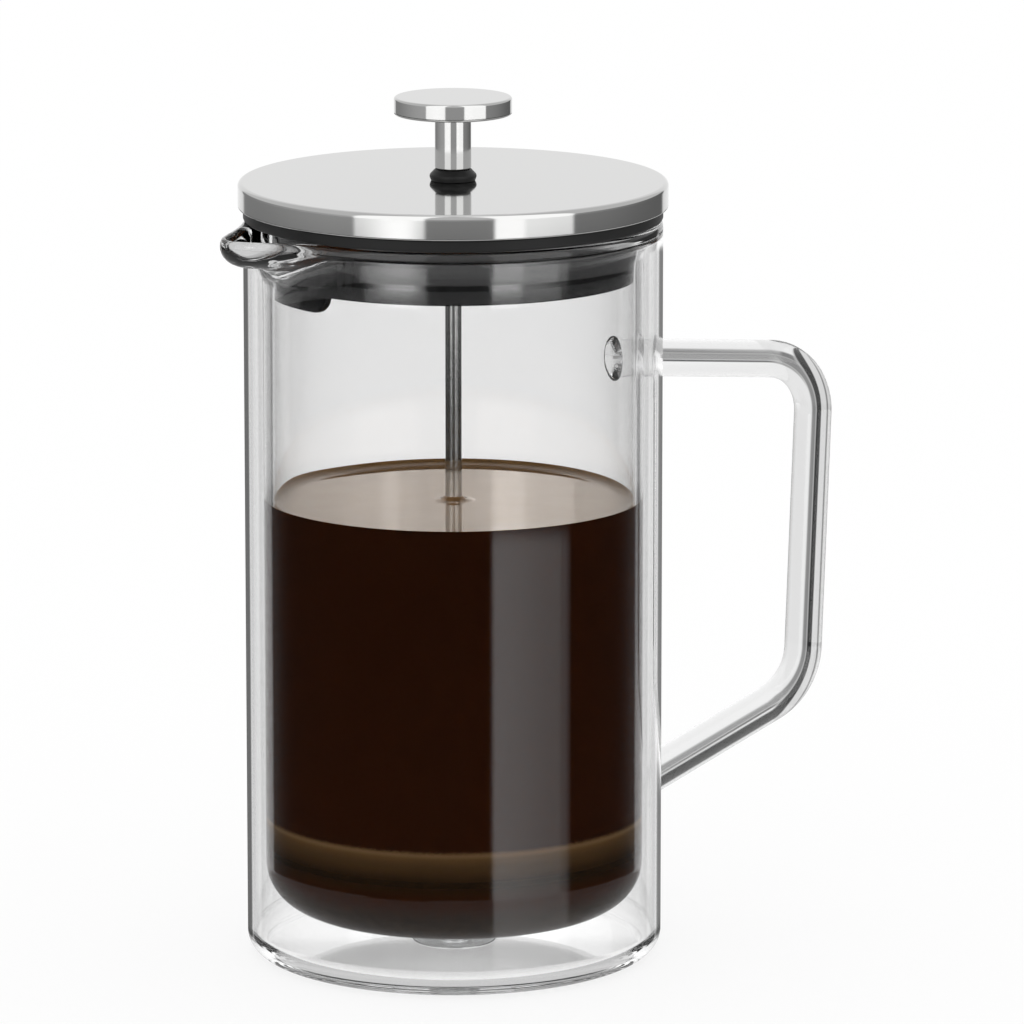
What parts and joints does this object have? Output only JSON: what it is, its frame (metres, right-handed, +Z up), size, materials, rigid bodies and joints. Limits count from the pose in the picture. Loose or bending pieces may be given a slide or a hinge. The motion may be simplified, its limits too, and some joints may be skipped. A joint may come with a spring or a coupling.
{
  "type": "french press",
  "caption": "Double-walled glass coffee press with a glass rod handle, pouring spout, flat steel lid, strainer collar and sprung mesh plunger.",
  "frame": {"origin": "centre of the underside of the carafe's base, on the carafe's axis", "axes": "+Z up along the carafe's axis, +X towards the handle, -X towards the spout"},
  "size_m": [0.169, 0.1024, 0.2081],
  "materials": {
    "glass": "clear",
    "clear_silicone": "translucent",
    "polished_steel": "polished",
    "satin_steel": "satin",
    "mesh_steel": "woven",
    "black_plastic": "semi-gloss",
    "black_rubber": "satin"
  },
  "bodies": {
    "carafe": {"outer_shell": "glass", "inner_beaker": "glass", "handle": "glass", "vent_plug": "clear_silicone"},
    "gasket": {"lid_gasket": "black_rubber"},
    "lid": {"lid_cap": "polished_steel", "strainer_collar": "black_plastic", "guide_bush": "satin_steel", "bush_nut": "satin_steel", "rod_grommet": "black_rubber"},
    "plunger": {"plunger_rod": "polished_steel", "knob": "polished_steel", "knob_stem": "polished_steel", "rod_shoulder": "satin_steel"},
    "filter": {"spiral_plate": "satin_steel", "edge_spring": "satin_steel", "mesh_screen": "mesh_steel", "cross_plate": "satin_steel", "filter_nut": "satin_steel"}
  },
  "joints": [
    {"name": "lid_lift", "type": "slide", "parent": "carafe", "child": "gasket", "axis": [0, 0, 1], "range_m": [0, 0.17]},
    {"name": "lid_turn", "type": "hinge", "parent": "gasket", "child": "lid", "pos_m": [0, 0, 0.182], "axis": [0, 0, 1], "continuous": true},
    {"name": "plunger_slide", "type": "slide", "parent": "lid", "child": "plunger", "axis": [0, 0, 1], "range_m": [0, 0.128]},
    {"name": "filter_unscrew", "type": "hinge", "parent": "plunger", "child": "filter", "pos_m": [0, 0, 0.025], "axis": [0, 0, -1], "continuous": true}
  ]
}
